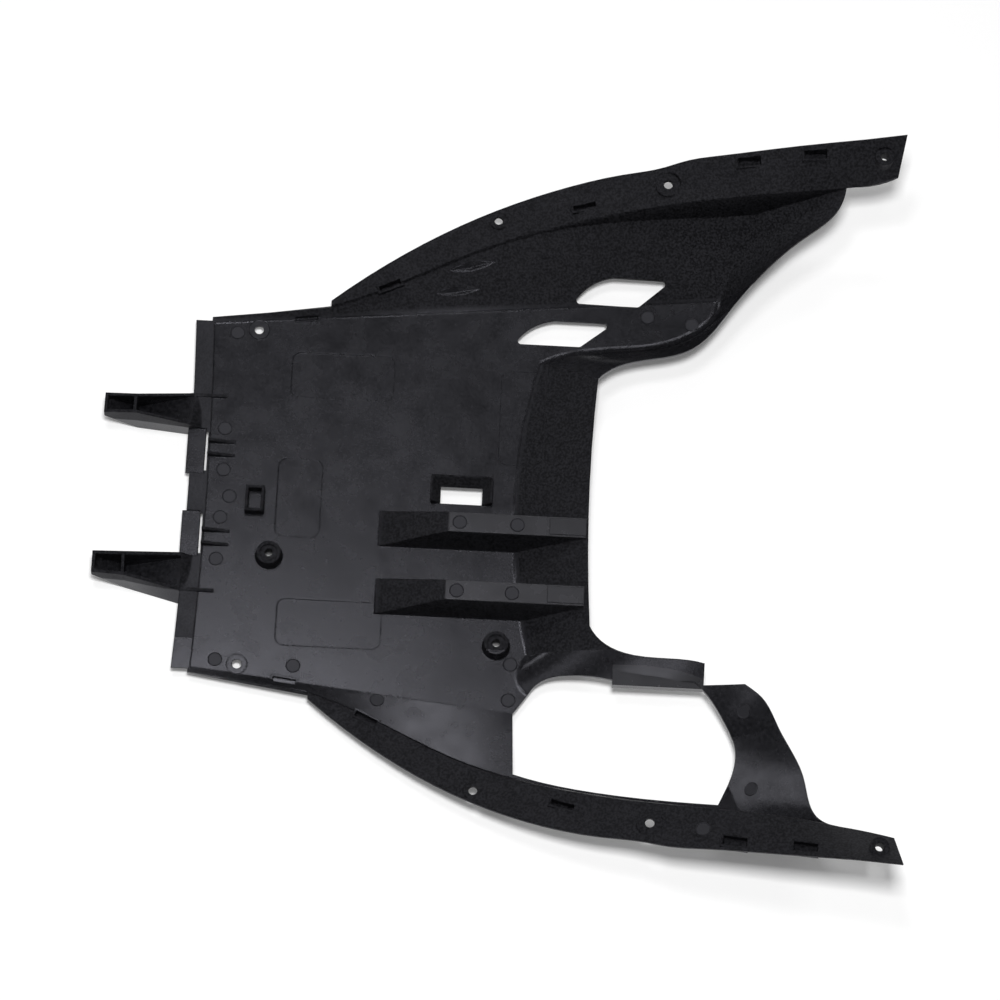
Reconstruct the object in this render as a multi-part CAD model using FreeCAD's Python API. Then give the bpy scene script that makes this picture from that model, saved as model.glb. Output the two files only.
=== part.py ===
import FreeCAD, Part
import math
import os

# Engine under cover, one moulded piece. Millimetres. +X is the rear of the vehicle, +Y its right side,
# +Z up into the tray. The origin lies on the middle line, in the plane of the flat underside.

# Skin
WALL = 2.5                      # floor, wings, ramps
FLANGE_SHIFT = 2.2              # outward and downward shift of the step under the flange
RIM_DROP = 3.0                  # upright thickness of the sloped rims, so the skin across them stays near WALL
FOOT_ROUND = 7.0                # inner radius at the foot of the ramp and of the rims

# Floor
FRONT_X = -206.5                # front fold on the middle line
FRONT_BOW = 3.0                 # the fold's ends lie this much further forward
ROLL_FRONT_Y = 128.0            # line where the floor starts to roll up, at the front
ROLL_REAR_Y = 164.5             # the same line at the rear
ROLL_REAR_X = 150.0
KINK_X = -126.0                 # where the side flange starts

# Side edges, wings and flange, right side: points on the inner face
SIDE_FRONT = (132.7, 1.4)       # side edge at the front: y, height above the floor
KINK_LOW = (KINK_X, 143.4, 6.2)
WING_EDGE = [KINK_LOW, (-80.0, 161.7, 8.6), (-20.0, 190.0, 14.0), (40.0, 207.5, 22.5), (105.0, 216.5, 25.5),
             (172.0, 223.5, 26.5)]
FLANGE_IN = [(KINK_X, 144.6, 7.6), (-80.0, 163.0, 10.6), (-20.0, 191.5, 16.0), (40.0, 209.5, 26.0),
             (105.0, 220.5, 40.0), (171.0, 227.0, 52.5), (235.0, 235.0, 54.5)]
FLANGE_OUT = [(KINK_X, 148.6, 7.2), (-80.0, 183.0, 11.0), (-20.0, 216.3, 18.0), (40.0, 237.5, 28.5),
              (80.0, 245.4, 37.5), (104.0, 248.6, 43.5), (122.0, 252.8, 49.5), (142.0, 254.8, 55.0),
              (200.0, 259.8, 68.0), (246.0, 263.4, 76.5)]
TIP_IN = [FLANGE_IN[-1], (253.0, 238.0, 56.0), (271.0, 243.0, 61.0)]
TIP_OUT = [FLANGE_OUT[-1], (274.8, 266.5, 81.2)]

# Rear ramp and the rims along the rear edges
RAMP_FOOT_X = 10.0              # foot of the ramp on the middle line
RAMP_FOOT_END = (24.0, 110.0)
RAMP_TOP_X = 61.5               # rear edge on the middle line
RAMP_TOP_END = (65.0, 92.0)
RAMP_TOP_Z = 24.0
FOOT_RIGHT = [(ROLL_REAR_X, ROLL_REAR_Y), (145.0, 147.0), (129.0, 134.0), (78.0, 122.5), RAMP_FOOT_END]
FOOT_LEFT = [(ROLL_REAR_X, ROLL_REAR_Y), (125.0, 152.0), (80.0, 147.0), (38.0, 143.0), (18.0, 130.0),
             RAMP_FOOT_END]
# Rear edge of each wing from the flange to above the end of the roll line, and on from there to the ramp
RIM_END = (RAMP_TOP_END[0], RAMP_TOP_END[1], RAMP_TOP_Z)
WALL_TOP_RIGHT = [FLANGE_IN[-1], (228.0, 217.0, 51.0), (205.4, 198.5, 45.0), (175.0, 170.5, 36.0)]
RIM_TOP_RIGHT = [(157.5, 149.0, 30.0), (143.5, 130.0, 25.5), (130.0, 118.0, 24.5), (85.0, 105.0, RAMP_TOP_Z),
                 RIM_END]
WALL_TOP_LEFT = [FLANGE_IN[-1], (220.0, 228.5, 53.0), (211.7, 199.0, 44.0), (195.4, 161.5, 33.5)]
RIM_TOP_LEFT = [(183.2, 138.0, 29.0), (175.4, 131.6, 28.0), (142.0, 115.0, 26.5), (105.0, 112.5, 25.0),
                (78.0, 105.5, RAMP_TOP_Z), RIM_END]

# Front lip, its hook plates and the two tongues; y values are for the right side and are mirrored
LIP_LENGTH = 11.5
LIP_STEP = 1.2                  # the lip's underside above the floor's
LIP_WALL = 2.2
LIP_OVERLAP = 1.5               # the lip's hold on the floor
LIP_END_Y = 130.0
HOOK_PLATE_IN_Y = 14.0          # the plates reach from here to the tongues
HOOK_PLATE_WALL = 1.5
HOOK_PLATE_REACH = 3.0          # the plates stand this much ahead of the lip
HOOK_SLIT = 1.6
HOOK_SLIT_INSET = 2.0
TONGUE_ROOT_X = -219.0
TONGUE_CROSS_X = -257.5         # cross wall that closes the end box
TONGUE_TIP_X = -280.0
TONGUE_UNDER_Z = -9.0
# Tongue sections, y and z of the corners: inner low, outer low, outer top, inner top
TONGUE_TAIL = [(47.6, 0.4), (78.0, 0.4), (73.7, 1.8), (47.6, 1.8)]
TONGUE_ROOT = [(47.0, TONGUE_UNDER_Z), (79.5, TONGUE_UNDER_Z), (73.7, 3.6), (47.6, 9.0)]
TONGUE_CROSS = [(50.5, TONGUE_UNDER_Z), (69.5, TONGUE_UNDER_Z), (67.6, 12.7), (51.7, 17.0)]
TONGUE_TIP = [(51.7, 8.0), (66.8, 8.0), (66.8, 13.8), (51.7, 15.2)]
TONGUE_WALL = 2.2
TONGUE_RIB_END_X = -195.5
TONGUE_RIB_END_RISE = 1.6
GUSSET_Y = (28.2, 38.3)
GUSSET_LENGTH = 19.0
GUSSET_RISE = 5.0
GUSSET_END_RISE = 0.8
GUSSET_WALL = 2.0

# Ribs on the floor, hollow from below
RIB_Y = (-20.5, -70.5)
RIB_FOOT_X = -84.0
RIB_RAMP = 49.0                 # length of the front ramp
RIB_FOOT_WIDTH = 26.0
RIB_TOP_WIDTH = 14.2
RIB_PROUD = 0.3                 # rib top above the rear edge
RIB_END_X = 60.5
RIB_PAD_X = 35.0                # a thin pad on the rib top starts here
RIB_PAD_RISE = 0.8
RIB_PAD_INSET = 1.2
RIB_SIDE_WALL = 2.6
RIB_END_WALL = 3.5

# Bosses, clip box, drain opening
BOSS_TOP_Z = 11.0
BOSS_FOOT_R = 9.8
BOSS_TOP_R = 8.4
BOSS_HOLE_R = 2.75
BOSS_DISH_R = 6.0
BOSS_DISH_DEPTH = 0.8
BOSSES = [(-158.8, -45.0), (1.6, -103.0)]
CLIP_BOX = (-177.5, -164.5, -14.5, 4.5)     # x and y limits
CLIP_TOP_Z = 10.0
CLIP_WALL = 2.0
DRAIN = (-41.7, -12.6, 0.5, 13.0)           # opening, x and y limits
DRAIN_SLOPE = 7.0               # run of the sloped sides
DRAIN_TOP_Z = 8.5
DRAIN_EDGE = 0.9

# Screw holes: x, y, hole radius, seat radius; each has its mirror image
SCREWS = [(-176.0, 125.0, 3.25, 7.1), (-10.0, 212.0, 3.0, 6.5), (109.0, 235.7, 3.25, 9.0),
          (260.0, 252.8, 3.0, 6.6)]
SEAT_PROUD = 0.5                # least rise of a seat above the skin at the hole
SEAT_DEPTH = 0.6                # least depth of a seat below the lowest skin round it

# Clip pockets along the side: x, y, turn in degrees, width; each has its mirror image
POCKETS = [(-142.8, 135.2, 7.0, 3.8), (-85.0, 161.5, 25.0, 3.8), (50.6, 222.0, 14.0, 3.8),
           (165.2, 250.0, 6.0, 6.2), (211.5, 254.0, 4.5, 6.2)]
POCKET_LENGTH = 16.0
POCKET_DEPTH = 6.0
POCKET_WALL = 1.5
POCKET_FLOOR_MIN = 0.8          # skin left under a pocket that lies over the flat floor

# Vents in the right wing, all of one shape
VENTS = [(5.5, 124.5), (46.0, 157.5)]       # front end of the edge nearest the middle
VENT_NEAR_LENGTH = 46.5
VENT_FAR_LENGTH = 41.5
VENT_SKEW = 28.0                # the far edge starts this much further back
VENT_WIDTH = 19.0
VENT_BULGE = 2.8                # how far the front end bows out, forward and outward
VENT_ROUND = 2.5

# Window in the left wing
WINDOW_OUT = [(16.5, -199.0), (40.0, -205.5), (75.0, -211.0), (115.0, -214.0), (156.0, -215.0)]
WINDOW_REAR = [(156.0, -215.0), (163.5, -197.0), (167.5, -181.0), (166.5, -168.0), (160.0, -154.0),
               (151.0, -140.0), (138.0, -127.0)]
WINDOW_IN = [(138.0, -127.0), (82.0, -127.0)]
WINDOW_FRONT = [(82.0, -127.0), (68.0, -125.0), (52.0, -124.5), (36.0, -127.0), (27.5, -133.0)]
WINDOW_CORNER = (15.0, -151.0)
BRIDGE_END = (144.5, -129.4)    # inner corner of the step in the rear edge beside the window
LEDGE = (82.0, 144.5, -131.5, -118.0)       # flat ledge on the bridge beside the window, x and y limits
LEDGE_Z = (11.5, 18.5)

# Long shallow dimples in the right wing: the two ends in plan
DIMPLES = [((-44.0, 175.0), (-11.0, 182.8)), ((-52.0, 158.6), (-21.0, 163.6))]
DIMPLE_WIDTH = 6.5
DIMPLE_DEPTH = 1.2
DIMPLE_STEEP = 0.35             # share of the width that the steep outer side takes
DIMPLE_FLAT = 0.1               # share of the width that is flat at the bottom

# Shallow marks in the floor
MARK_DEPTH = 0.5
PAD = (-151.0, -78.5, 75.5, 109.5)          # x and y limits, mirrored
PAD_ROUND = 6.0
PLAIN_PANEL = (-156.0, -125.0, -29.5, 28.5)

REACH = 1.5 * TIP_OUT[-1][2]    # length of cutting tools that pass right through
SEW_TOLERANCE = 0.01


def at(point, shift):
    return FreeCAD.Vector(point[0] + shift[0], point[1] + shift[1], point[2] + shift[2])


def spline(points):
    curve = Part.BSplineCurve()
    curve.interpolate(points)
    return curve


def arc(first, middle, last):
    return Part.Arc(first, middle, last).toShape()


def floor_point(point):
    return (point[0], point[1], WALL)


def mirrored(point):
    return (point[0], -point[1], point[2])


def side_curves(side, outer):
    """Edges of one side's skin; outer gives the lower face of the skin instead of the upper one."""
    if side > 0:
        wall_top, rim_top, rim_foot = WALL_TOP_RIGHT, RIM_TOP_RIGHT, FOOT_RIGHT
    else:
        wall_top, rim_top, rim_foot = WALL_TOP_LEFT, RIM_TOP_LEFT, FOOT_LEFT
    drop = (0, 0, -WALL if outer else 0)
    rim_drop = (0, 0, -RIM_DROP if outer else 0)
    step = (0, side * FLANGE_SHIFT if outer else 0, -FLANGE_SHIFT if outer else 0)

    def place(point, shift):
        return at(point if side > 0 else mirrored(point), shift)

    front_x = FRONT_X - FRONT_BOW
    kink_share = (KINK_X - front_x) / (ROLL_REAR_X - front_x)
    roll_kink_y = ROLL_FRONT_Y + kink_share * (ROLL_REAR_Y - ROLL_FRONT_Y)
    roll_front = place(floor_point((front_x, ROLL_FRONT_Y)), drop)
    roll_kink = place(floor_point((KINK_X, roll_kink_y)), drop)
    roll_rear = place(floor_point((ROLL_REAR_X, ROLL_REAR_Y)), drop)
    side_front = place((front_x, SIDE_FRONT[0], WALL + SIDE_FRONT[1]), drop)
    wing = [place(p, step) for p in WING_EDGE]
    inner = [place(p, step) for p in FLANGE_IN]
    outer_edge = [place(p, drop) for p in FLANGE_OUT]
    tip_in = [inner[-1]] + [place(p, drop) for p in TIP_IN[1:]]
    tip_out = [outer_edge[-1]] + [place(p, drop) for p in TIP_OUT[1:]]
    top = [inner[-1]] + [place(p, rim_drop) for p in wall_top[1:] + rim_top]
    foot = [place(floor_point(p), drop) for p in rim_foot]

    rim_curve = spline(top)
    split = rim_curve.parameter(top[len(wall_top) - 1])
    curves = {
        "roll_front": Part.makeLine(roll_front, roll_kink),
        "roll": Part.makeLine(roll_kink, roll_rear),
        "side": Part.makeLine(side_front, wing[0]),
        "front_end": Part.makeLine(roll_front, side_front),
        "wing": spline(wing).toShape(),
        "flange_in": spline(inner).toShape(),
        "flange_out": spline(outer_edge).toShape(),
        "tip_in": spline(tip_in).toShape(),
        "tip_out": spline(tip_out).toShape(),
        "tip_end": Part.makeLine(tip_in[-1], tip_out[-1]),
        "kink_low": Part.makeLine(wing[0], inner[0]),
        "kink_high": Part.makeLine(inner[0], outer_edge[0]),
        "wall_foot": Part.makeLine(wing[-1], roll_rear),
        "wall_top": rim_curve.toShape(rim_curve.FirstParameter, split),
        "rim_top": rim_curve.toShape(split, rim_curve.LastParameter),
        "rim_foot": spline(foot).toShape(),
    }
    corners = {"roll_front": roll_front, "ramp_foot": foot[-1], "ramp_top": top[-1]}
    return curves, corners


def middle_curves(right, left, outer):
    lower = 0 if outer else WALL
    top_z = RAMP_TOP_Z - (RIM_DROP if outer else 0)
    return {
        "front": arc(right["roll_front"], FreeCAD.Vector(FRONT_X, 0, lower), left["roll_front"]),
        "ramp_foot": arc(right["ramp_foot"], FreeCAD.Vector(RAMP_FOOT_X, 0, lower), left["ramp_foot"]),
        "ramp_top": arc(right["ramp_top"], FreeCAD.Vector(RAMP_TOP_X, 0, top_z), left["ramp_top"]),
    }


STRIPS = [("roll_front", "side"), ("roll", "wing"), ("wing", "flange_in"), ("flange_in", "flange_out"),
          ("tip_in", "tip_out"), ("wall_foot", "wall_top"), ("rim_foot", "rim_top")]
FREE_EDGES = ["side", "front_end", "kink_low", "kink_high", "flange_out", "tip_in", "tip_out", "tip_end",
              "wall_top", "rim_top"]


def level_curves(outer):
    right, right_corners = side_curves(1, outer)
    left, left_corners = side_curves(-1, outer)
    return right, left, middle_curves(right_corners, left_corners, outer)


def skin_level(outer):
    right, left, middle = level_curves(outer)
    faces = []
    for curves in (right, left):
        for low, high in STRIPS:
            faces.append(Part.makeRuledSurface(curves[low], curves[high]))
    ramp_face = Part.makeRuledSurface(middle["ramp_foot"], middle["ramp_top"])
    faces.append(ramp_face)
    border = [middle["front"], middle["ramp_foot"]]
    for curves in (right, left):
        border += [curves["roll_front"], curves["roll"], curves["rim_foot"]]
    floor_wire = Part.Wire(Part.__sortEdges__(border))
    faces.append(Part.Face(floor_wire))
    free = [middle["front"], middle["ramp_top"]]
    free += [curves[name] for curves in (right, left) for name in FREE_EDGES]
    return faces, free, ramp_face


def quad(a, b, c, d):
    """Four-cornered face, flat where the corners allow it and ruled where they do not."""
    if abs((b - a).cross(c - a).dot(d - a)) < SEW_TOLERANCE:
        return Part.Face(Part.makePolygon([a, b, c, d, a]))
    return Part.makeRuledSurface(Part.makeLine(a, b), Part.makeLine(d, c))


def edge_face(upper, lower):
    """Face that closes the skin along one free edge."""
    if isinstance(upper.Curve, Part.Line):
        upper_ends = [v.Point for v in upper.Vertexes]
        lower_ends = [v.Point for v in lower.Vertexes]
        return quad(upper_ends[0], upper_ends[1], lower_ends[1], lower_ends[0])
    return Part.makeRuledSurface(upper, lower)


def skin():
    """The thin tray without holes: two levels of faces, closed along the free edges, and its rear ramp."""
    upper, upper_edges, ramp_face = skin_level(False)
    lower, lower_edges, _ = skin_level(True)
    sides = [edge_face(a, b) for a, b in zip(upper_edges, lower_edges)]
    sewn = Part.makeCompound(upper + lower + sides)
    sewn.sewShape(SEW_TOLERANCE)
    inside_out = Part.makeSolid(Part.Shell(sewn.Faces))
    tray = Part.makeSolid(Part.Shell(inside_out.Faces))     # the second pass turns the faces outward
    tray.fix(SEW_TOLERANCE, SEW_TOLERANCE, SEW_TOLERANCE)
    return tray, ramp_face


def edge_on(solid, curve):
    """The solid's edge that runs through the middle of a curve."""
    half_way = (curve.FirstParameter + curve.LastParameter) / 2
    spot = Part.Vertex(curve.valueAt(half_way))
    return min(solid.Edges, key=lambda edge: edge.distToShape(spot)[0])


def soften(tray):
    """Rounds the fold of the inner face along the floor's rear edge."""
    right, left, middle = level_curves(False)
    feet = [middle["ramp_foot"], right["rim_foot"], left["rim_foot"]]
    return tray.makeFillet(FOOT_ROUND, [edge_on(tray, curve) for curve in feet])


def box(limits, low, high):
    x0, x1, y0, y1 = limits
    return Part.makeBox(x1 - x0, y1 - y0, high - low, FreeCAD.Vector(x0, y0, low))


def disc(x, y, radius, low, high):
    return Part.makeCylinder(radius, high - low, FreeCAD.Vector(x, y, low))


def block_between(first, last):
    """Solid between two four-cornered ends."""
    faces = [quad(*first), quad(*last)]
    for i in range(len(first)):
        j = (i + 1) % len(first)
        faces.append(quad(first[i], first[j], last[j], last[i]))
    sewn = Part.makeCompound(faces)
    sewn.sewShape(SEW_TOLERANCE)
    solid = Part.makeSolid(Part.Shell(sewn.Faces))
    return solid if solid.Volume > 0 else solid.reversed()


def frustum(low_limits, low, high_limits, high):
    ends = []
    for (x0, x1, y0, y1), z in ((low_limits, low), (high_limits, high)):
        corners = [(x0, y0), (x1, y0), (x1, y1), (x0, y1)]
        ends.append([FreeCAD.Vector(x, y, z) for x, y in corners])
    return block_between(*ends)


def rounded(limits, radius, low, high):
    block = box(limits, low, high)
    upright = [e for e in block.Edges if abs(e.Vertexes[0].Z - e.Vertexes[1].Z) > 0]
    return block.makeFillet(radius, upright)


def prism(edges, low, high):
    wire = Part.Wire(Part.__sortEdges__(edges))
    wire.translate(FreeCAD.Vector(0, 0, low))
    return Part.Face(wire).extrude(FreeCAD.Vector(0, 0, high - low))


def flat(point):
    return FreeCAD.Vector(point[0], point[1], 0)


def plan_line(first, last):
    return Part.makeLine(flat(first), flat(last))


def plan_spline(points):
    return spline([flat(p) for p in points]).toShape()


def both_sides(y):
    return (y, -y)


def mirror_y(shape):
    return shape.mirror(FreeCAD.Vector(0, 0, 0), FreeCAD.Vector(0, 1, 0))


def height(tray, x, y):
    """Upper face of the skin at a place in plan."""
    probe = Part.makeLine(FreeCAD.Vector(x, y, -1), FreeCAD.Vector(x, y, REACH))
    return max(v.Z for v in probe.common(tray).Vertexes)


def wedge(x_high, z_high, x_low, z_low, y, wall):
    """Upright web in the XZ plane with a sloped top, sunk into the floor."""
    base = WALL / 2
    corners = [(x_high, base), (x_low, base), (x_low, z_low), (x_high, z_high), (x_high, base)]
    outline = Part.makePolygon([FreeCAD.Vector(x, y - wall / 2, z) for x, z in corners])
    return Part.Face(outline).extrude(FreeCAD.Vector(0, wall, 0))


def fold_strip(front, rear, half, low, high):
    """Plate between two copies of the bowed front fold, each moved along X."""
    edges = []
    ends = []
    for shift in (front, rear):
        end_x = FRONT_X - FRONT_BOW + shift
        first = FreeCAD.Vector(end_x, half, 0)
        last = FreeCAD.Vector(end_x, -half, 0)
        edges.append(arc(first, FreeCAD.Vector(FRONT_X + shift, 0, 0), last))
        ends.append((first, last))
    edges.append(Part.makeLine(ends[0][0], ends[1][0]))
    edges.append(Part.makeLine(ends[0][1], ends[1][1]))
    return prism(edges, low, high)


def section(x, corners):
    return [FreeCAD.Vector(x, y, z) for y, z in corners]


def slot_section(x, corners, low, high):
    """Section of a slot between the side walls of a tongue section."""
    y_in = corners[3][0] + TONGUE_WALL
    y_out = corners[2][0] - TONGUE_WALL
    return section(x, [(y_in, low), (y_out, low), (y_out, high), (y_in, high)])


def tongue_piece():
    """Right-hand tongue: a channel that falls from the lip to a cross wall, and an end box ahead of it."""
    tail_x = FRONT_X - FRONT_BOW
    tail = section(tail_x, TONGUE_TAIL)
    root = section(TONGUE_ROOT_X, TONGUE_ROOT)
    cross = section(TONGUE_CROSS_X, TONGUE_CROSS)
    tip = section(TONGUE_TIP_X, TONGUE_TIP)
    body = block_between(tail, root).fuse([block_between(root, cross), block_between(cross, tip)])

    lip_top = LIP_STEP + LIP_WALL
    channel_end_z = TONGUE_UNDER_Z + TONGUE_WALL
    channel = block_between(slot_section(TONGUE_ROOT_X, TONGUE_ROOT, lip_top, REACH),
                            slot_section(TONGUE_CROSS_X, TONGUE_CROSS, channel_end_z, REACH))
    under = block_between(slot_section(tail_x, TONGUE_ROOT, -REACH, LIP_STEP),
                          slot_section(TONGUE_ROOT_X, TONGUE_ROOT, -REACH, LIP_STEP))
    under_web = block_between(slot_section(TONGUE_ROOT_X, TONGUE_ROOT, -REACH, LIP_STEP),
                              slot_section(TONGUE_CROSS_X, TONGUE_CROSS, -REACH, TONGUE_UNDER_Z))
    run = TONGUE_CROSS_X - TONGUE_TIP_X
    rise = TONGUE_TIP[0][1] - TONGUE_UNDER_Z
    upright_wall = TONGUE_WALL * math.hypot(run, rise) / run
    wall_rise = TONGUE_WALL * rise / run
    end_cell = block_between(
        slot_section(TONGUE_CROSS_X - TONGUE_WALL, TONGUE_CROSS, TONGUE_UNDER_Z + upright_wall + wall_rise, REACH),
        slot_section(TONGUE_TIP_X + TONGUE_WALL, TONGUE_TIP, TONGUE_TIP[0][1] + upright_wall - wall_rise, REACH))
    return body.cut([channel, under, under_web, end_cell])


def front_pieces():
    """Lip, hook plates, tongues and gussets; returns what is added and what is cut away after."""
    lip_top = LIP_STEP + LIP_WALL
    add = [fold_strip(-LIP_LENGTH, LIP_OVERLAP, LIP_END_Y, LIP_STEP, lip_top)]
    cut = []
    plate_in = HOOK_PLATE_IN_Y
    plate_out = TONGUE_ROOT[3][0]
    plate_front = FRONT_X - LIP_LENGTH - HOOK_PLATE_REACH
    plate = (plate_front, FRONT_X, plate_in, plate_out)
    over_plate = (plate_front, FRONT_X - HOOK_SLIT, plate_in, plate_out)
    slit = (FRONT_X - HOOK_SLIT, FRONT_X, plate_in + HOOK_SLIT_INSET, plate_out - HOOK_SLIT_INSET)
    plate_low = WALL / 4
    wall_out_y, wall_out_z = TONGUE_ROOT[2]
    rib = wedge(TONGUE_ROOT_X, wall_out_z, TONGUE_RIB_END_X, WALL + TONGUE_RIB_END_RISE,
                wall_out_y - TONGUE_WALL / 2, TONGUE_WALL)
    right_add = [box(plate, plate_low, plate_low + HOOK_PLATE_WALL), tongue_piece(), rib]
    for y in GUSSET_Y:
        right_add.append(wedge(FRONT_X, WALL + GUSSET_RISE, FRONT_X + GUSSET_LENGTH, WALL + GUSSET_END_RISE,
                               y, GUSSET_WALL))
    right_cut = [box(over_plate, plate_low + HOOK_PLATE_WALL, lip_top + LIP_WALL), box(slit, -WALL, 2 * WALL)]
    add += right_add + [mirror_y(s) for s in right_add]
    cut += right_cut + [mirror_y(s) for s in right_cut]
    return add, cut


def rib_pieces(ramp_face):
    """Tapered ribs with a ramp at the front; the second list is their hollow underside."""
    under_ramp = ramp_face.translated(FreeCAD.Vector(0, 0, -WALL / 2)).extrude(FreeCAD.Vector(0, 0, -REACH))
    top_z = RAMP_TOP_Z + RIB_PROUD
    rise = top_z - WALL
    ramp_drop = WALL * math.hypot(RIB_RAMP, rise) / RIB_RAMP
    side_slope = (RIB_FOOT_WIDTH - RIB_TOP_WIDTH) / 2 / rise
    add = []
    hollow = []
    for y in RIB_Y:
        foot = (RIB_FOOT_X, RIB_END_X, y - RIB_FOOT_WIDTH / 2, y + RIB_FOOT_WIDTH / 2)
        top = (RIB_FOOT_X + RIB_RAMP, RIB_END_X, y - RIB_TOP_WIDTH / 2, y + RIB_TOP_WIDTH / 2)
        add.append(frustum(foot, WALL, top, top_z).cut(under_ramp))
        pad_half = RIB_TOP_WIDTH / 2 - RIB_PAD_INSET
        add.append(box((RIB_PAD_X, RIB_END_X, y - pad_half, y + pad_half), top_z - WALL, top_z + RIB_PAD_RISE))
        low_z = WALL - ramp_drop
        high_z = top_z - ramp_drop
        low_half = RIB_FOOT_WIDTH / 2 + side_slope * ramp_drop - RIB_SIDE_WALL
        high_half = RIB_TOP_WIDTH / 2 + side_slope * ramp_drop - RIB_SIDE_WALL
        low = (RIB_FOOT_X, RIB_END_X - RIB_END_WALL, y - low_half, y + low_half)
        high = (RIB_FOOT_X + RIB_RAMP, RIB_END_X - RIB_END_WALL, y - high_half, y + high_half)
        hollow.append(frustum(low, low_z, high, high_z))
    return add, hollow


def boss_pieces():
    add = []
    cut = []
    low = WALL / 2
    for x, y in BOSSES:
        add.append(Part.makeCone(BOSS_FOOT_R, BOSS_TOP_R, BOSS_TOP_Z - low, FreeCAD.Vector(x, y, low)))
        cut.append(disc(x, y, BOSS_HOLE_R, -WALL, BOSS_TOP_Z + WALL))
        cut.append(disc(x, y, BOSS_DISH_R, BOSS_TOP_Z - BOSS_DISH_DEPTH, BOSS_TOP_Z + WALL))
    add.append(box(CLIP_BOX, low, CLIP_TOP_Z))
    x0, x1, y0, y1 = CLIP_BOX
    inside = (x0 + CLIP_WALL, x1 - CLIP_WALL, y0 + CLIP_WALL, y1 - CLIP_WALL)
    cut.append(box(inside, WALL, CLIP_TOP_Z + WALL))
    return add, cut


def drain_pieces():
    """Raised edge round three sides of the drain opening, sloped down to the opening."""
    x0, x1, y0, y1 = DRAIN
    around = (x0 - DRAIN_SLOPE, x1 + DRAIN_SLOPE, y0, y1 + DRAIN_SLOPE)
    block = box(around, WALL / 2, DRAIN_TOP_Z)
    front_y = y0 - DRAIN_SLOPE
    mouth = (x0 - DRAIN_SLOPE + DRAIN_EDGE, x1 + DRAIN_SLOPE - DRAIN_EDGE, front_y, y1 + DRAIN_SLOPE - DRAIN_EDGE)
    slope = frustum((x0, x1, front_y, y1), WALL, mouth, DRAIN_TOP_Z)
    return [block.cut(slope)], [box(DRAIN, -WALL, DRAIN_TOP_Z)]


def screw_pieces(tray):
    add = []
    cut = []
    for x, y_right, hole, seat in SCREWS:
        for y in both_sides(y_right):
            level = height(tray, x, y)
            outer_level = height(tray, x, y + math.copysign(seat, y))
            inner_level = height(tray, x, y - math.copysign(seat, y))
            seat_low = max(min(outer_level, inner_level) - SEAT_DEPTH, WALL / 4)
            seat_top = max(level, outer_level - WALL, inner_level - WALL) + SEAT_PROUD
            add.append(disc(x, y, seat, seat_low, seat_top))
            cut.append(disc(x, y, seat, seat_top, seat_top + REACH))
            cut.append(disc(x, y, hole, level - REACH, level + REACH))
    return add, cut


def pocket_pieces(tray):
    """Clip pockets: a thin-walled box under the flange, open at the top."""
    add = []
    cut = []
    for x, y, turn, width in POCKETS:
        level = height(tray, x, y)
        floor_z = max(level - POCKET_DEPTH, POCKET_FLOOR_MIN)
        shell_low = max(floor_z - POCKET_WALL, POCKET_FLOOR_MIN / 2)
        half_l = POCKET_LENGTH / 2
        half_w = width / 2
        outside = (-half_l - POCKET_WALL, half_l + POCKET_WALL, -half_w - POCKET_WALL, half_w + POCKET_WALL)
        inside = (-half_l, half_l, -half_w, half_w)
        shell = box(outside, shell_low, level)
        hole = box(inside, floor_z, level + POCKET_DEPTH)
        for piece in (shell, hole):
            piece.rotate(FreeCAD.Vector(0, 0, 0), FreeCAD.Vector(0, 0, 1), turn)
            piece.translate(FreeCAD.Vector(x, y, 0))
        add += [shell, mirror_y(shell)]
        cut += [hole, mirror_y(hole)]
    return add, cut


def vent(x, y):
    near = FreeCAD.Vector(x, y, 0)
    near_rear = FreeCAD.Vector(x + VENT_NEAR_LENGTH, y, 0)
    far = FreeCAD.Vector(x + VENT_SKEW, y + VENT_WIDTH, 0)
    far_rear = FreeCAD.Vector(far.x + VENT_FAR_LENGTH, far.y, 0)
    middle = (near + far) * 0.5
    bow = FreeCAD.Vector(middle.x - VENT_BULGE, middle.y + VENT_BULGE, 0)
    edges = [Part.makeLine(near, near_rear), Part.makeLine(near_rear, far_rear),
             Part.makeLine(far_rear, far), arc(far, bow, near)]
    block = prism(edges, -REACH, REACH)
    upright = [e for e in block.Edges if abs(e.Vertexes[0].Z - e.Vertexes[-1].Z) > REACH]
    return block.makeFillet(VENT_ROUND, upright)


def dimple(tray, first, last):
    """Keel with a steep outer side, deepest half way along."""
    middle = (flat(first) + flat(last)) * 0.5
    across = FreeCAD.Vector(first[1] - last[1], last[0] - first[0], 0).normalize() * DIMPLE_WIDTH
    up = FreeCAD.Vector(0, 0, DIMPLE_DEPTH)
    ends = []
    for spot, low in ((flat(first), 0), (middle, -DIMPLE_DEPTH), (flat(last), 0)):
        deep = FreeCAD.Vector(spot.x, spot.y, height(tray, spot.x, spot.y) + low)
        steep_top = deep + (up + across * DIMPLE_STEEP) * 2
        gentle_top = deep + (up - across * (1 - DIMPLE_STEEP)) * 2
        ends.append([deep, steep_top, gentle_top, deep - across * DIMPLE_FLAT])
    return block_between(ends[0], ends[1]).fuse(block_between(ends[1], ends[2]))


def window():
    edges = [plan_spline(WINDOW_OUT), plan_spline(WINDOW_REAR), plan_line(*WINDOW_IN),
             plan_spline(WINDOW_FRONT), plan_line(WINDOW_FRONT[-1], WINDOW_CORNER),
             plan_line(WINDOW_CORNER, WINDOW_OUT[0])]
    return prism(edges, -REACH, REACH)


def bridge_step():
    x, y = BRIDGE_END
    return box((x, x + REACH, y, 0), -REACH, REACH)


def ledge():
    return box(LEDGE, *LEDGE_Z)


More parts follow.
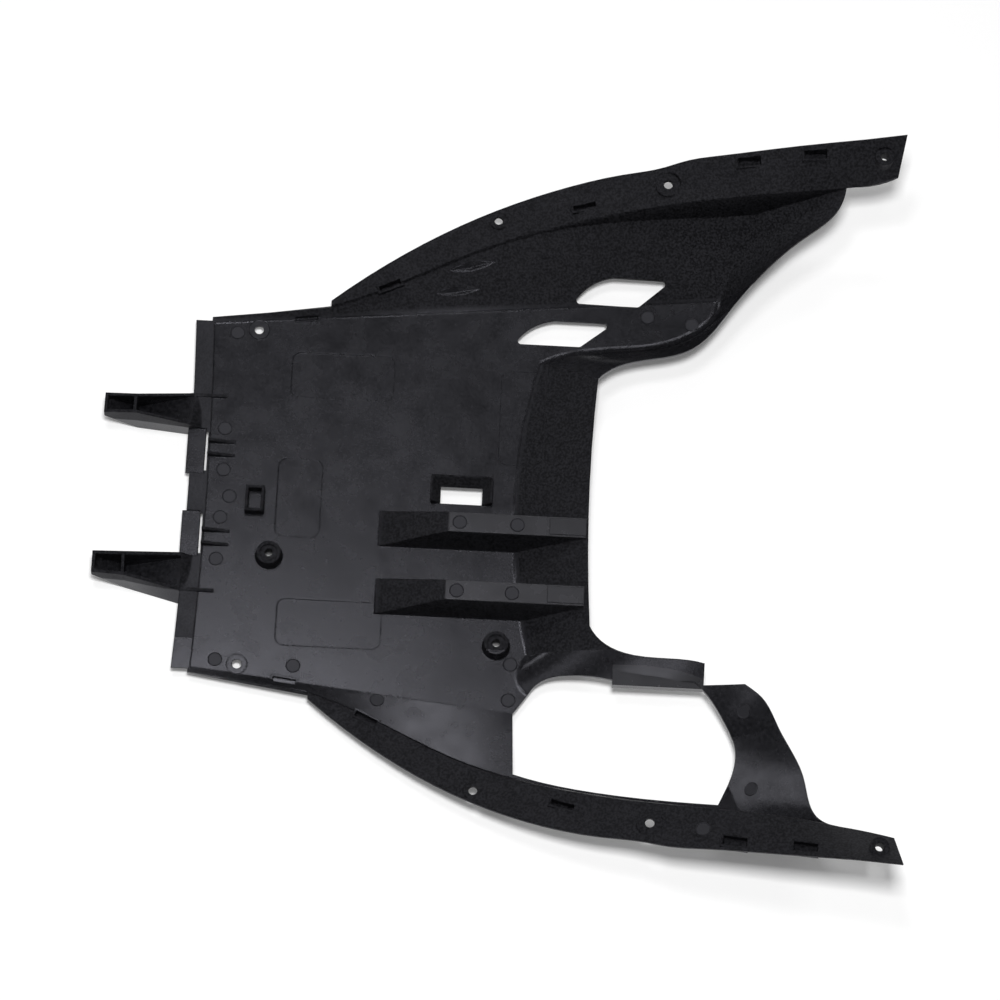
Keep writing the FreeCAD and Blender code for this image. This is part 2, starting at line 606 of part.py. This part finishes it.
def mark_cuts():
    low = WALL - MARK_DEPTH
    pad = rounded(PAD, PAD_ROUND, low, 2 * WALL)
    return [pad, mirror_y(pad), rounded(PLAIN_PANEL, PAD_ROUND, low, 2 * WALL)]


plain_tray, ramp = skin()
tray = soften(plain_tray)
groups = [front_pieces(), rib_pieces(ramp), boss_pieces(), drain_pieces(), screw_pieces(tray), pocket_pieces(tray)]
added = [piece for add, cut in groups for piece in add]
removed = [piece for add, cut in groups for piece in cut]
removed += [vent(x, y) for x, y in VENTS] + [dimple(tray, first, last) for first, last in DIMPLES]
opened = tray.cut(mark_cuts() + [window(), bridge_step()])
cover = opened.fuse(added + [ledge()]).cut(removed).removeSplitter()

os.makedirs("parts", exist_ok=True)
cover.Solids[0].exportStep("parts/under_cover.step")
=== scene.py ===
import math

import bpy
from mathutils import Matrix, Vector
from mathutils.bvhtree import BVHTree


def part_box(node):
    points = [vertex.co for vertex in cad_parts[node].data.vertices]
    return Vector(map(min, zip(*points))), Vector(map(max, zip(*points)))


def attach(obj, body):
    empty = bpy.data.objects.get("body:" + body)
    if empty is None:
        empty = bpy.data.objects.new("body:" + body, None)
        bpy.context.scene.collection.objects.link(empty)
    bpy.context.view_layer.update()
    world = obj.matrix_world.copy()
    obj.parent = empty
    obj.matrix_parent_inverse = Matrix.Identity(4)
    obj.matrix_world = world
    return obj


# Looks for the engine under cover: black moulded plastic, the mould's marks, a white table and lamps.
# The row frame is in metres. Places and sizes on the part are in millimetres here, with x and y in plan.

MM = 0.001

# Camera: turns of the part as the photograph shows it, in degrees, and the point that the lens looks at
TURN_Z = -2.892
TURN_Y = 0.96
TURN_X = -20.78
LOOK_AT = Vector((0.0, 5.33, 2.5)) * MM
CAMERA_DISTANCE = 2.8
FOCAL_PIXELS = 4000
IMAGE_PIXELS = 1000
SENSOR_WIDTH = 36.0

# Round marks left by the mould's pins; each of the pairs is mirrored on the other side
PIN_RADIUS = 5.4
PIN_RIM = 1.1
PIN_RISE = 0.35
PIN_STEPS = 40
PIN_PAIRS = [(-191.2, 122.2), (-195.3, 48.8), (-194.4, 17.8)]
PIN_SINGLES = [(-137.3, -124.1), (11.6, -141.4), (12.0, -115.5), (99.4, 150.0), (131.0, 146.0),
               (-189.0, -2.0), (-78.3, -146.3), (144.1, -240.7), (172.4, -147.1), (177.9, -203.3),
               (-27.5, -20.8), (12.5, -20.8), (-27.5, -71.0), (10.7, -71.0)]

# Fine line left by a loose plate of the mould, over the floor and the foot of the ramp: x and y limits
PLATE_LINE = (-2.5, 29.0, 32.0, 103.0)
PLATE_ROUND = 6.0
PLATE_CORNER_STEPS = 6
LINE_WIDTH = 0.7
LINE_RISE = 0.2
LINE_STEP = 1.0
RAY_START = 1.0                         # metres up, from where the surface under a mark is sought

# Colours of the plastic: the mottled smooth finish, the grain, the paler tone painted as a highlight on
# the rib tops and the ledge, the mould's marks and the tint of the shine
MOTTLE_DARK = (0.0030, 0.0030, 0.0036, 1.0)
MOTTLE_PALE = (0.0140, 0.0140, 0.0162, 1.0)
GRAIN_DARK = (0.0005, 0.0005, 0.0006, 1.0)
GRAIN_PALE = (0.0115, 0.0115, 0.0133, 1.0)
# Painted highlight: the paler tone of the rib tops and the ledge
PAINTED_HIGHLIGHT_TONE = (0.024, 0.024, 0.026, 1.0)
MARK_TONE = (0.013, 0.013, 0.015, 1.0)
SHINE_TINT = (0.89, 0.89, 1.0, 1.0)

# Noise: scale per metre and detail; a range holds the values between which one tone or roughness turns
# into the other
CLOUD = (11.0, 4.0)
SPECK = (420.0, 3.0)
MOTTLE_RANGE = (0.75, 1.25)             # of the sum of cloud and speck
SMEAR = (60.0, 6.0)
SMEAR_RANGE = (0.3, 0.7)
PEBBLE = (640.0, 2.0)
PEBBLE_RANGE = (0.38, 0.62)

ROUGHNESS = (0.22, 0.30)
GRAIN_ROUGHNESS = 0.45                  # added where the grain is
MARK_ROUGHNESS = 0.45
RELIEF = (0.05, 0.8)                    # strength on the smooth finish and on the grain
RELIEF_DEPTH = 0.3
EDGE_ROUND = 1.2

# Places with a smooth finish and a painted highlight, a paler tone that stands in for the light on them:
# the two rib tops and the ledge; middle and half size of each box
SMOOTH_PAINTED_HIGHLIGHT_PLACES = [((12.75, -20.5, 24.7), (48.2, 7.3, 0.9)), ((12.75, -70.5, 24.7), (48.2, 7.3, 0.9)),
               ((113.3, -124.8, 17.0), (31.4, 7.2, 5.0))]

# The grain covers the flanges, and all that stands above the floor apart from the left wing, the dimples
# in the right wing, and the rear rim, which lies between the ramp's end and the roll of the right wing
GRAIN_FROM = 2.8                        # heights between which it comes in
GRAIN_FULL = 4.0
LEFT_WING_FROM = -108.0                 # the left wing lies beyond this y
DIMPLES = [((-44.0, 175.0), (-11.0, 182.8)), ((-52.0, 158.6), (-21.0, 163.6))]
DIMPLE_WIDTH = 6.5
RAMP_END = (-0.51, 124.8)               # a line in plan: slope, and y where x is nought
WING_ROLL = (0.1015, 149.3)
FLANGE_EDGE = [(-210.0, 135.0), (-126.0, 144.0), (-80.0, 162.3), (-20.0, 190.7), (40.0, 208.5),
               (105.0, 218.5), (171.0, 226.0), (235.0, 235.0), (275.0, 240.0)]

# Studio: direction from the part, distance in metres, size in metres, power in watts
MAIN_LAMP = ((0.0, -0.19, 0.98), 2.6, (0.4, 0.4), 53.0)
SOFT_LAMPS = {"top": ((-0.12, 0.14, 0.98), 2.4, (0.4, 0.4), 8.0),
              "right": ((0.05, 0.66, 0.75), 2.4, (0.8, 0.3), 4.8),
              "front_right": ((-0.74, 0.52, 0.43), 2.4, (0.5, 0.5), 2.8),
              "front_left": ((-0.46, -0.22, 0.86), 2.4, (0.6, 0.5), 1.2),
              "left": ((0.0, -0.68, 0.73), 2.4, (0.6, 0.4), 2.2)}
FILL = 0.06                             # strength of the even light from all round
WHITE = (1.0, 1.0, 1.0, 1.0)
TABLE_SIZE = 12.0                       # in metres
TABLE_GAP = 0.5                         # below the part
TABLE_TONE = (0.9, 0.9, 0.9, 1.0)
TABLE_ROUGHNESS = 0.9
TABLE_GLOW = 0.12

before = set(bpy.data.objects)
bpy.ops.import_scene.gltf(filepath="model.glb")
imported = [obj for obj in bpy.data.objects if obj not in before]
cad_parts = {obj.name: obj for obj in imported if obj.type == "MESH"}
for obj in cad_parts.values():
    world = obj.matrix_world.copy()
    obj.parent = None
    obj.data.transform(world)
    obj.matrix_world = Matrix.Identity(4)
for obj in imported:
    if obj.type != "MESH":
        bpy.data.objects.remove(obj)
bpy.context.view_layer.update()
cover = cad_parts["under_cover"]


def clear_start_scene():
    for name in ("Cube", "Light", "Camera"):
        found = bpy.data.objects.get(name)
        if found:
            bpy.data.objects.remove(found)


def new_material(name):
    """A material with nodes, its node tree and its main shader."""
    material = bpy.data.materials.new(name)
    material.use_nodes = True
    tree = material.node_tree
    return material, tree, tree.nodes["Principled BSDF"]


def add_node(tree, kind, **inputs):
    node = tree.nodes.new(kind)
    for name, value in inputs.items():
        node.inputs[name.replace("_", " ")].default_value = value
    return node


def noise(tree, coordinates, values):
    scale, detail = values
    node = add_node(tree, "ShaderNodeTexNoise", Scale=scale, Detail=detail)
    tree.links.new(coordinates, node.inputs["Vector"])
    return node.outputs["Fac"]


def to_range(tree, value, old_range, new_range):
    node = add_node(tree, "ShaderNodeMapRange", From_Min=old_range[0], From_Max=old_range[1],
                    To_Min=new_range[0], To_Max=new_range[1])
    tree.links.new(value, node.inputs["Value"])
    return node.outputs["Result"]


def calculate(tree, operation, first, second):
    node = tree.nodes.new("ShaderNodeMath")
    node.operation = operation
    for socket, value in zip(node.inputs, (first, second)):
        if isinstance(value, (int, float)):
            socket.default_value = value
        else:
            tree.links.new(value, socket)
    return node.outputs["Value"]


def absolute(tree, value):
    return calculate(tree, "ABSOLUTE", value, 0.0)


def vector_step(tree, operation, first, second):
    node = tree.nodes.new("ShaderNodeVectorMath")
    node.operation = operation
    tree.links.new(first, node.inputs[0])
    node.inputs[1].default_value = second
    return node.outputs["Vector"]


def axes(tree, vector):
    node = tree.nodes.new("ShaderNodeSeparateXYZ")
    tree.links.new(vector, node.inputs["Vector"])
    return node.outputs["X"], node.outputs["Y"], node.outputs["Z"]


def mix_colours(tree, share, first, second):
    node = tree.nodes.new("ShaderNodeMix")
    node.data_type = "RGBA"
    for name, value in (("A", first), ("B", second)):
        if isinstance(value, tuple):
            node.inputs[name].default_value = value
        else:
            tree.links.new(value, node.inputs[name])
    tree.links.new(share, node.inputs["Factor"])
    return node.outputs["Result"]


def in_box(tree, where, middle, half):
    """One inside a box on the part, nought outside it."""
    offset = vector_step(tree, "SUBTRACT", where, Vector(middle) * MM)
    distance = vector_step(tree, "ABSOLUTE", offset, (0, 0, 0))
    over = vector_step(tree, "SUBTRACT", distance, Vector(half) * MM)
    x, y, z = axes(tree, over)
    largest = calculate(tree, "MAXIMUM", calculate(tree, "MAXIMUM", x, y), z)
    return calculate(tree, "LESS_THAN", largest, 0.0)


def in_dimple(tree, x, y, first, last):
    """One inside a lens in plan that runs between two ends."""
    first = Vector(first) * MM
    last = Vector(last) * MM
    middle = (first + last) / 2
    along = (last - first) / (last - first).length_squared * 2
    across = Vector((-along.y, along.x)).normalized() / (DIMPLE_WIDTH / 2 * MM)

    def from_middle(direction):
        reach = calculate(tree, "ADD", calculate(tree, "MULTIPLY", x, direction.x),
                          calculate(tree, "MULTIPLY", y, direction.y))
        return absolute(tree, calculate(tree, "SUBTRACT", reach, middle.dot(direction)))

    bow = calculate(tree, "POWER", from_middle(along), 2.0)
    off = calculate(tree, "ADD", bow, from_middle(across))
    return calculate(tree, "LESS_THAN", off, 1.0)


def past_line(tree, x, y, line):
    """One where a place lies to the right side of a line in plan."""
    slope, start = line
    across = calculate(tree, "SUBTRACT", y, calculate(tree, "MULTIPLY", x, slope))
    return calculate(tree, "GREATER_THAN", across, start * MM)


def beyond_curve(tree, x, y, points):
    """One where a place lies further from the middle line than a curve through points in plan."""
    low = points[0][0]
    high = points[-1][0]
    most = max(far for _, far in points)
    node = tree.nodes.new("ShaderNodeFloatCurve")
    curve = node.mapping.curves[0]
    while len(curve.points) < len(points):
        curve.points.new(0.5, 0.5)
    for spot, (along, far) in zip(curve.points, points):
        spot.location = ((along - low) / (high - low), far / most)
    node.mapping.update()
    tree.links.new(to_range(tree, x, (low * MM, high * MM), (0.0, 1.0)), node.inputs["Value"])
    edge = calculate(tree, "MULTIPLY", node.outputs["Value"], most * MM)
    return calculate(tree, "GREATER_THAN", absolute(tree, y), edge)


def smooth_painted_highlight_share(tree, where):
    """One in the smooth places that carry the painted highlight, nought elsewhere."""
    smooth_painted_highlight = 0.0
    for middle, half in SMOOTH_PAINTED_HIGHLIGHT_PLACES:
        smooth_painted_highlight = calculate(tree, "MAXIMUM", in_box(tree, where, middle, half), smooth_painted_highlight)
    return smooth_painted_highlight


def grain_share(tree, where, smooth_painted_highlight):
    """One where the surface is grained, nought where it is smooth."""
    x, y, height = axes(tree, where)
    raised = to_range(tree, height, (GRAIN_FROM * MM, GRAIN_FULL * MM), (0.0, 1.0))
    left_wing = calculate(tree, "LESS_THAN", y, LEFT_WING_FROM * MM)
    past_ramp = past_line(tree, x, y, RAMP_END)
    rear_rim = calculate(tree, "SUBTRACT", past_ramp, past_line(tree, x, y, WING_ROLL))
    bare = calculate(tree, "MAXIMUM", calculate(tree, "MAXIMUM", left_wing, smooth_painted_highlight), rear_rim)
    for first, last in DIMPLES:
        bare = calculate(tree, "MAXIMUM", bare, in_dimple(tree, x, y, first, last))
    flange = beyond_curve(tree, x, y, FLANGE_EDGE)
    return calculate(tree, "MAXIMUM", flange, calculate(tree, "SUBTRACT", raised, bare))


def moulded_plastic():
    material, tree, shader = new_material("moulded_plastic")
    shader.inputs["Specular Tint"].default_value = SHINE_TINT
    where = tree.nodes.new("ShaderNodeTexCoord").outputs["Object"]
    smooth_painted_highlight = smooth_painted_highlight_share(tree, where)
    grain = grain_share(tree, where, smooth_painted_highlight)
    pebble = noise(tree, where, PEBBLE)

    mottle = calculate(tree, "ADD", noise(tree, where, CLOUD), noise(tree, where, SPECK))
    mottle_share = to_range(tree, mottle, MOTTLE_RANGE, (0.0, 1.0))
    smooth_tone = mix_colours(tree, mottle_share, MOTTLE_DARK, MOTTLE_PALE)
    pebble_share = to_range(tree, pebble, PEBBLE_RANGE, (0.0, 1.0))
    grain_tone = mix_colours(tree, pebble_share, GRAIN_DARK, GRAIN_PALE)
    tone = mix_colours(tree, grain, smooth_tone, grain_tone)
    # Paler tone painted on the rib tops and the ledge as a highlight
    tree.links.new(mix_colours(tree, smooth_painted_highlight, tone, PAINTED_HIGHLIGHT_TONE), shader.inputs["Base Color"])

    rough = to_range(tree, noise(tree, where, SMEAR), SMEAR_RANGE, ROUGHNESS)
    more = calculate(tree, "MULTIPLY", grain, GRAIN_ROUGHNESS)
    tree.links.new(calculate(tree, "ADD", rough, more), shader.inputs["Roughness"])

    relief = add_node(tree, "ShaderNodeBump", Distance=RELIEF_DEPTH * MM)
    tree.links.new(to_range(tree, grain, (0.0, 1.0), RELIEF), relief.inputs["Strength"])
    tree.links.new(pebble, relief.inputs["Height"])
    edge = add_node(tree, "ShaderNodeBevel", Radius=EDGE_ROUND * MM)
    tree.links.new(edge.outputs["Normal"], relief.inputs["Normal"])
    tree.links.new(relief.outputs["Normal"], shader.inputs["Normal"])
    return material


def mark_plastic():
    """The same plastic, duller where the mould's pins and plates met it."""
    material, _, shader = new_material("mark_plastic")
    shader.inputs["Base Color"].default_value = MARK_TONE
    shader.inputs["Roughness"].default_value = MARK_ROUGHNESS
    shader.inputs["Specular Tint"].default_value = SHINE_TINT
    return material


def surface_below(surface, x, y):
    """Highest point of the part under a place in plan, and the surface's normal there."""
    start = Vector((x * MM, y * MM, RAY_START))
    point, normal, _, _ = surface.ray_cast(start, Vector((0, 0, -1)))
    return point, normal


def pin_mark(surface, x, y):
    """Vertices and faces of one shallow round mark lying on the surface."""
    centre, normal = surface_below(surface, x, y)
    turn = normal.to_track_quat("Z", "Y").to_matrix()
    rings = [(PIN_RADIUS, -PIN_RISE), (PIN_RADIUS - PIN_RIM / 2, PIN_RISE),
             (PIN_RADIUS - PIN_RIM, PIN_RISE / 4)]
    points = []
    for radius, rise in rings:
        for step in range(PIN_STEPS):
            angle = 2 * math.pi * step / PIN_STEPS
            local = Vector((radius * math.cos(angle), radius * math.sin(angle), rise)) * MM
            points.append(centre + turn @ local)
    faces = []
    for ring in range(len(rings) - 1):
        for step in range(PIN_STEPS):
            a = ring * PIN_STEPS + step
            b = ring * PIN_STEPS + (step + 1) % PIN_STEPS
            faces.append((a, b, b + PIN_STEPS, a + PIN_STEPS))
    last = (len(rings) - 1) * PIN_STEPS
    faces.append(tuple(range(last, last + PIN_STEPS)))
    return points, faces


def round_rectangle(limits, radius):
    """Places along a rectangle with round corners, closed, about a line step apart."""
    x0, x1, y0, y1 = limits
    corners = [(x1 - radius, y1 - radius), (x0 + radius, y1 - radius), (x0 + radius, y0 + radius),
               (x1 - radius, y0 + radius)]
    outline = []
    for index, (x, y) in enumerate(corners):
        for turn in range(PLATE_CORNER_STEPS + 1):
            angle = math.pi / 2 * (index + turn / PLATE_CORNER_STEPS)
            outline.append(Vector((x + radius * math.cos(angle), y + radius * math.sin(angle))))
    places = []
    for first, last in zip(outline, outline[1:] + outline[:1]):
        count = max(1, round((last - first).length / LINE_STEP))
        places += [first.lerp(last, step / count) for step in range(count)]
    return places


def plate_line(surface):
    """Vertices and faces of a fine raised line that lies on the surface."""
    places = round_rectangle(PLATE_LINE, PLATE_ROUND)
    count = len(places)
    points = []
    for index, place in enumerate(places):
        along = (places[(index + 1) % count] - places[index - 1]).normalized()
        across = Vector((-along.y, along.x)) * LINE_WIDTH / 2
        for side, rise in ((1, -LINE_RISE), (0, LINE_RISE), (-1, -LINE_RISE)):
            spot = place + across * side
            point, normal = surface_below(surface, spot.x, spot.y)
            points.append(point + normal * rise * MM)
    faces = []
    for index in range(count):
        a = 3 * index
        b = 3 * ((index + 1) % count)
        faces += [(a, b, b + 1, a + 1), (a + 1, b + 1, b + 2, a + 2)]
    return points, faces


def mould_marks(surface):
    """The pin marks and the plate line as one piece."""
    places = [(x, side * y) for x, y in PIN_PAIRS for side in (1, -1)] + PIN_SINGLES
    shapes = [pin_mark(surface, x, y) for x, y in places] + [plate_line(surface)]
    points = []
    faces = []
    for mark_points, mark_faces in shapes:
        faces += [tuple(i + len(points) for i in face) for face in mark_faces]
        points += mark_points
    mesh = bpy.data.meshes.new("mould_marks")
    mesh.from_pydata(points, [], faces)
    mesh.materials.append(mark_plastic())
    marks = bpy.data.objects.new("mould_marks", mesh)
    bpy.context.scene.collection.objects.link(marks)
    return marks


def white_table(height):
    """Floor that the camera sees as white and that still takes the part's shadow."""
    bpy.ops.mesh.primitive_plane_add(size=TABLE_SIZE, location=(0, 0, height))
    table = bpy.context.object
    table.name = "table"
    material, tree, shader = new_material("table_white")
    shader.inputs["Base Color"].default_value = TABLE_TONE
    shader.inputs["Roughness"].default_value = TABLE_ROUGHNESS
    shader.inputs["Specular IOR Level"].default_value = 0.0
    shader.inputs["Emission Color"].default_value = WHITE
    path = tree.nodes.new("ShaderNodeLightPath")
    seen = calculate(tree, "ADD", path.outputs["Is Camera Ray"], path.outputs["Is Glossy Ray"])
    seen = calculate(tree, "ADD", seen, path.outputs["Is Transmission Ray"])
    tree.links.new(calculate(tree, "MULTIPLY", seen, TABLE_GLOW), shader.inputs["Emission Strength"])
    table.data.materials.append(material)


def lamp(name, direction, distance, size, watts):
    """A soft box that faces the part."""
    light = bpy.data.lights.new(name, "AREA")
    light.shape = "RECTANGLE"
    light.size, light.size_y = size
    light.energy = watts
    holder = bpy.data.objects.new(name, light)
    holder.location = Vector(direction).normalized() * distance
    holder.rotation_euler = (-holder.location).to_track_quat("-Z", "Y").to_euler()
    bpy.context.scene.collection.objects.link(holder)
    return holder


def studio():
    world = bpy.data.worlds.new("studio")
    world.use_nodes = True
    background = world.node_tree.nodes["Background"]
    background.inputs["Color"].default_value = WHITE
    background.inputs["Strength"].default_value = FILL
    bpy.context.scene.world = world
    lamp("main", *MAIN_LAMP).visible_glossy = False
    for name, values in SOFT_LAMPS.items():
        lamp(name, *values)


def photo_camera():
    turn = Matrix.Rotation(math.radians(TURN_Z), 3, "Z")
    turn = turn @ Matrix.Rotation(math.radians(TURN_Y), 3, "Y")
    turn = turn @ Matrix.Rotation(math.radians(TURN_X), 3, "X")
    to_world = turn.transposed()
    lens = bpy.data.cameras.new("photo_camera")
    lens.sensor_width = SENSOR_WIDTH
    lens.lens = SENSOR_WIDTH * FOCAL_PIXELS / IMAGE_PIXELS
    camera = bpy.data.objects.new("photo_camera", lens)
    place = to_world @ Vector((0, 0, CAMERA_DISTANCE)) + LOOK_AT
    camera.matrix_world = Matrix.Translation(place) @ to_world.to_4x4()
    bpy.context.scene.collection.objects.link(camera)
    bpy.context.scene.camera = camera


clear_start_scene()
surface = BVHTree.FromObject(cover, bpy.context.evaluated_depsgraph_get())
cover.data.materials.clear()
cover.data.materials.append(moulded_plastic())
marks = mould_marks(surface)
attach(marks, "root")
white_table(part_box("under_cover")[0].z - TABLE_GAP * MM)
studio()
photo_camera()
bpy.context.scene.view_settings.view_transform = "Standard"
